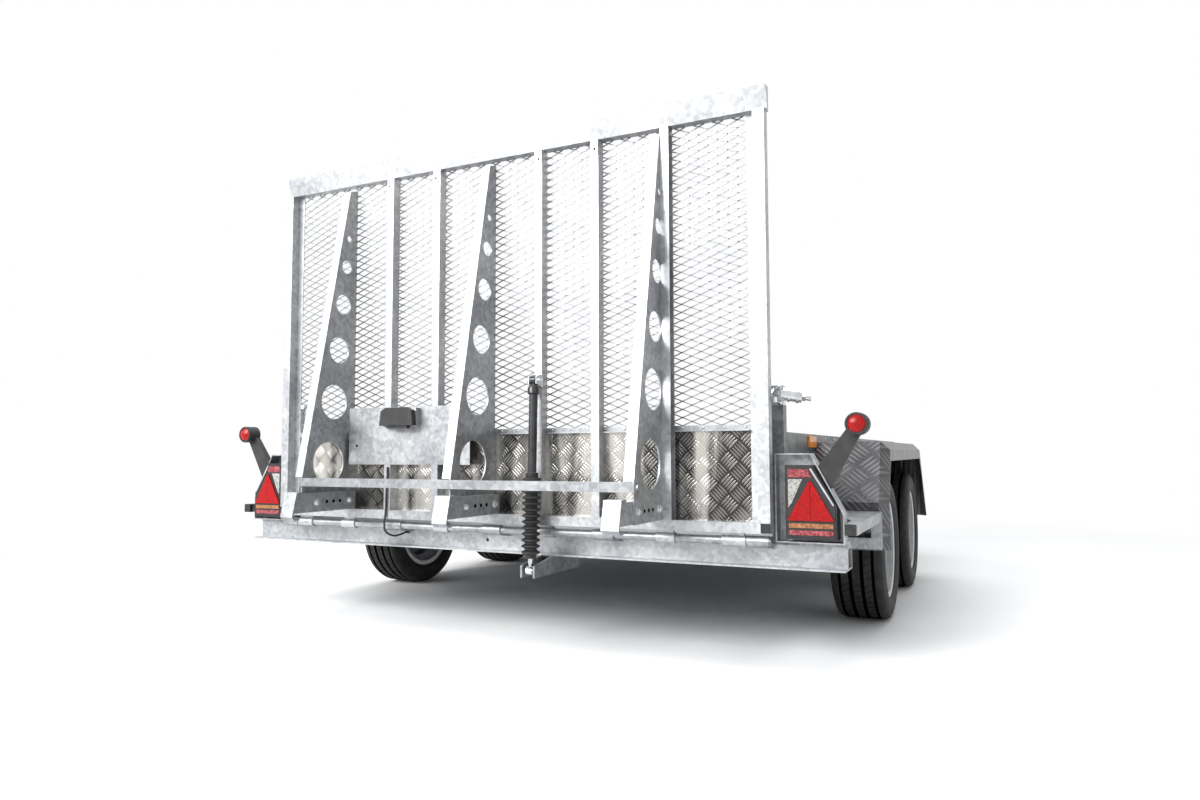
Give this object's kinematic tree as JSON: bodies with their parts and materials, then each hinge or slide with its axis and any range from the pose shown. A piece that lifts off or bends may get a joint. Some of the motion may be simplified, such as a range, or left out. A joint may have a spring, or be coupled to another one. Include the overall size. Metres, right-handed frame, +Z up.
{
  "type": "tandem-axle equipment trailer",
  "caption": "Galvanised tandem-axle equipment trailer with a tall ribbed mesh loading ramp, gas damper, mudguards, drawbar and jockey wheel.",
  "frame": {"origin": "on the ground, under the middle of the whole trailer's box", "axes": "+Y towards the coupling, +X to the right seen from behind, +Z up"},
  "size_m": [2.4558, 4.749, 1.712],
  "materials": {
    "galvanised": "mottled hot-dip galvanised",
    "bright_zinc": "bright zinc plated",
    "chequer_aluminium": "mill-finish chequer plate",
    "chequer_steel": "galvanised chequer plate",
    "tyre_rubber": "matt black rubber",
    "rim_silver": "silver paint",
    "lamp_plastic": "gloss black with red and amber lenses",
    "black_rubber": "matt black rubber",
    "black_paint": "black paint",
    "rod_chrome": "hard chrome",
    "cast_grey": "grey painted casting"
  },
  "bodies": {
    "chassis": {"rear_beam": "galvanised", "frame_rails": "galvanised", "cross_members": "galvanised", "deck": "chequer_steel", "side_wall_right": "galvanised", "side_wall_left": "galvanised", "front_wall": "galvanised", "rear_axle": "galvanised", "front_axle": "galvanised", "mudguard_right": "chequer_aluminium", "mudguard_left": "chequer_aluminium", "mudguard_stays": "galvanised", "lamp_housings": "galvanised", "tail_lamps": "lamp_plastic", "marker_lamps": "black_rubber", "hinge_bar": "galvanised", "damper_low_bracket": "galvanised", "drawbar": "galvanised", "overrun_housing": "cast_grey", "coupling_head": "bright_zinc", "handbrake_lever": "black_paint", "jockey_clamp": "cast_grey", "jockey_tube": "bright_zinc", "ramp_latches": "bright_zinc"},
    "ramp": {"ramp_frame": "galvanised", "ramp_top_rail": "galvanised", "ramp_channels": "galvanised", "ramp_ribs": "galvanised", "ramp_tie_bar": "galvanised", "ramp_feet": "galvanised", "ramp_mesh": "galvanised", "ramp_plate": "chequer_aluminium", "ramp_mid_angles": "galvanised", "number_plate_board": "galvanised", "damper_top_bracket": "galvanised"},
    "damper_barrel": {"damper_barrel": "black_paint", "damper_bellows": "black_rubber"},
    "damper_rod": {"damper_rod": "rod_chrome"},
    "jockey_leg": {"jockey_leg": "bright_zinc"},
    "jockey_fork": {"jockey_fork": "bright_zinc"},
    "jockey_wheel": {"jockey_wheel": "black_rubber"},
    "wheel_rear_left": {"tyre_rear_left": "tyre_rubber", "rim_rear_left": "rim_silver"},
    "wheel_rear_right": {"tyre_rear_right": "tyre_rubber", "rim_rear_right": "rim_silver"},
    "wheel_front_left": {"tyre_front_left": "tyre_rubber", "rim_front_left": "rim_silver"},
    "wheel_front_right": {"tyre_front_right": "tyre_rubber", "rim_front_right": "rim_silver"}
  },
  "joints": [
    {"name": "wheel_rear_left_spin", "type": "hinge", "parent": "chassis", "child": "wheel_rear_left", "pos_m": [-1.08, -1.1125, 0.2625], "axis": [1, 0, 0], "continuous": true},
    {"name": "wheel_rear_right_spin", "type": "hinge", "parent": "chassis", "child": "wheel_rear_right", "pos_m": [1.08, -1.1125, 0.2625], "axis": [1, 0, 0], "continuous": true},
    {"name": "wheel_front_left_spin", "type": "hinge", "parent": "chassis", "child": "wheel_front_left", "pos_m": [-1.08, -0.2805, 0.2625], "axis": [1, 0, 0], "continuous": true},
    {"name": "wheel_front_right_spin", "type": "hinge", "parent": "chassis", "child": "wheel_front_right", "pos_m": [1.08, -0.2805, 0.2625], "axis": [1, 0, 0], "continuous": true},
    {"name": "ramp_hinge", "type": "hinge", "parent": "chassis", "child": "ramp", "pos_m": [0, -2.0355, 0.365], "axis": [1, 0, 0], "range_deg": [0, 104]},
    {"name": "damper_pivot", "type": "hinge", "parent": "ramp", "child": "damper_barrel", "pos_m": [0.196, -2.0975, 0.86], "axis": [1, 0, 0], "range_deg": [-8, 0]},
    {"name": "damper_slide", "type": "slide", "parent": "damper_barrel", "child": "damper_rod", "axis": [0, 0.0328, 0.9995], "range_m": [0, 0.2235], "deforming": ["damper_bellows"]},
    {"name": "jockey_slide", "type": "slide", "parent": "chassis", "child": "jockey_leg", "axis": [0, 0, 1], "range_m": [-0.05, 0.078]},
    {"name": "jockey_swivel", "type": "hinge", "parent": "jockey_leg", "child": "jockey_fork", "pos_m": [-0.105, 2.1795, 0.232], "axis": [0, 0, 1], "continuous": true},
    {"name": "jockey_spin", "type": "hinge", "parent": "jockey_fork", "child": "jockey_wheel", "pos_m": [-0.105, 2.1345, 0.105], "axis": [1, 0, 0], "continuous": true}
  ],
  "couplings": [
    {"joint": "damper_pivot", "follows": "ramp_hinge", "ratio": -0.0715},
    {"joint": "damper_slide", "follows": "ramp_hinge", "m_per_rad": 0.1228}
  ]
}
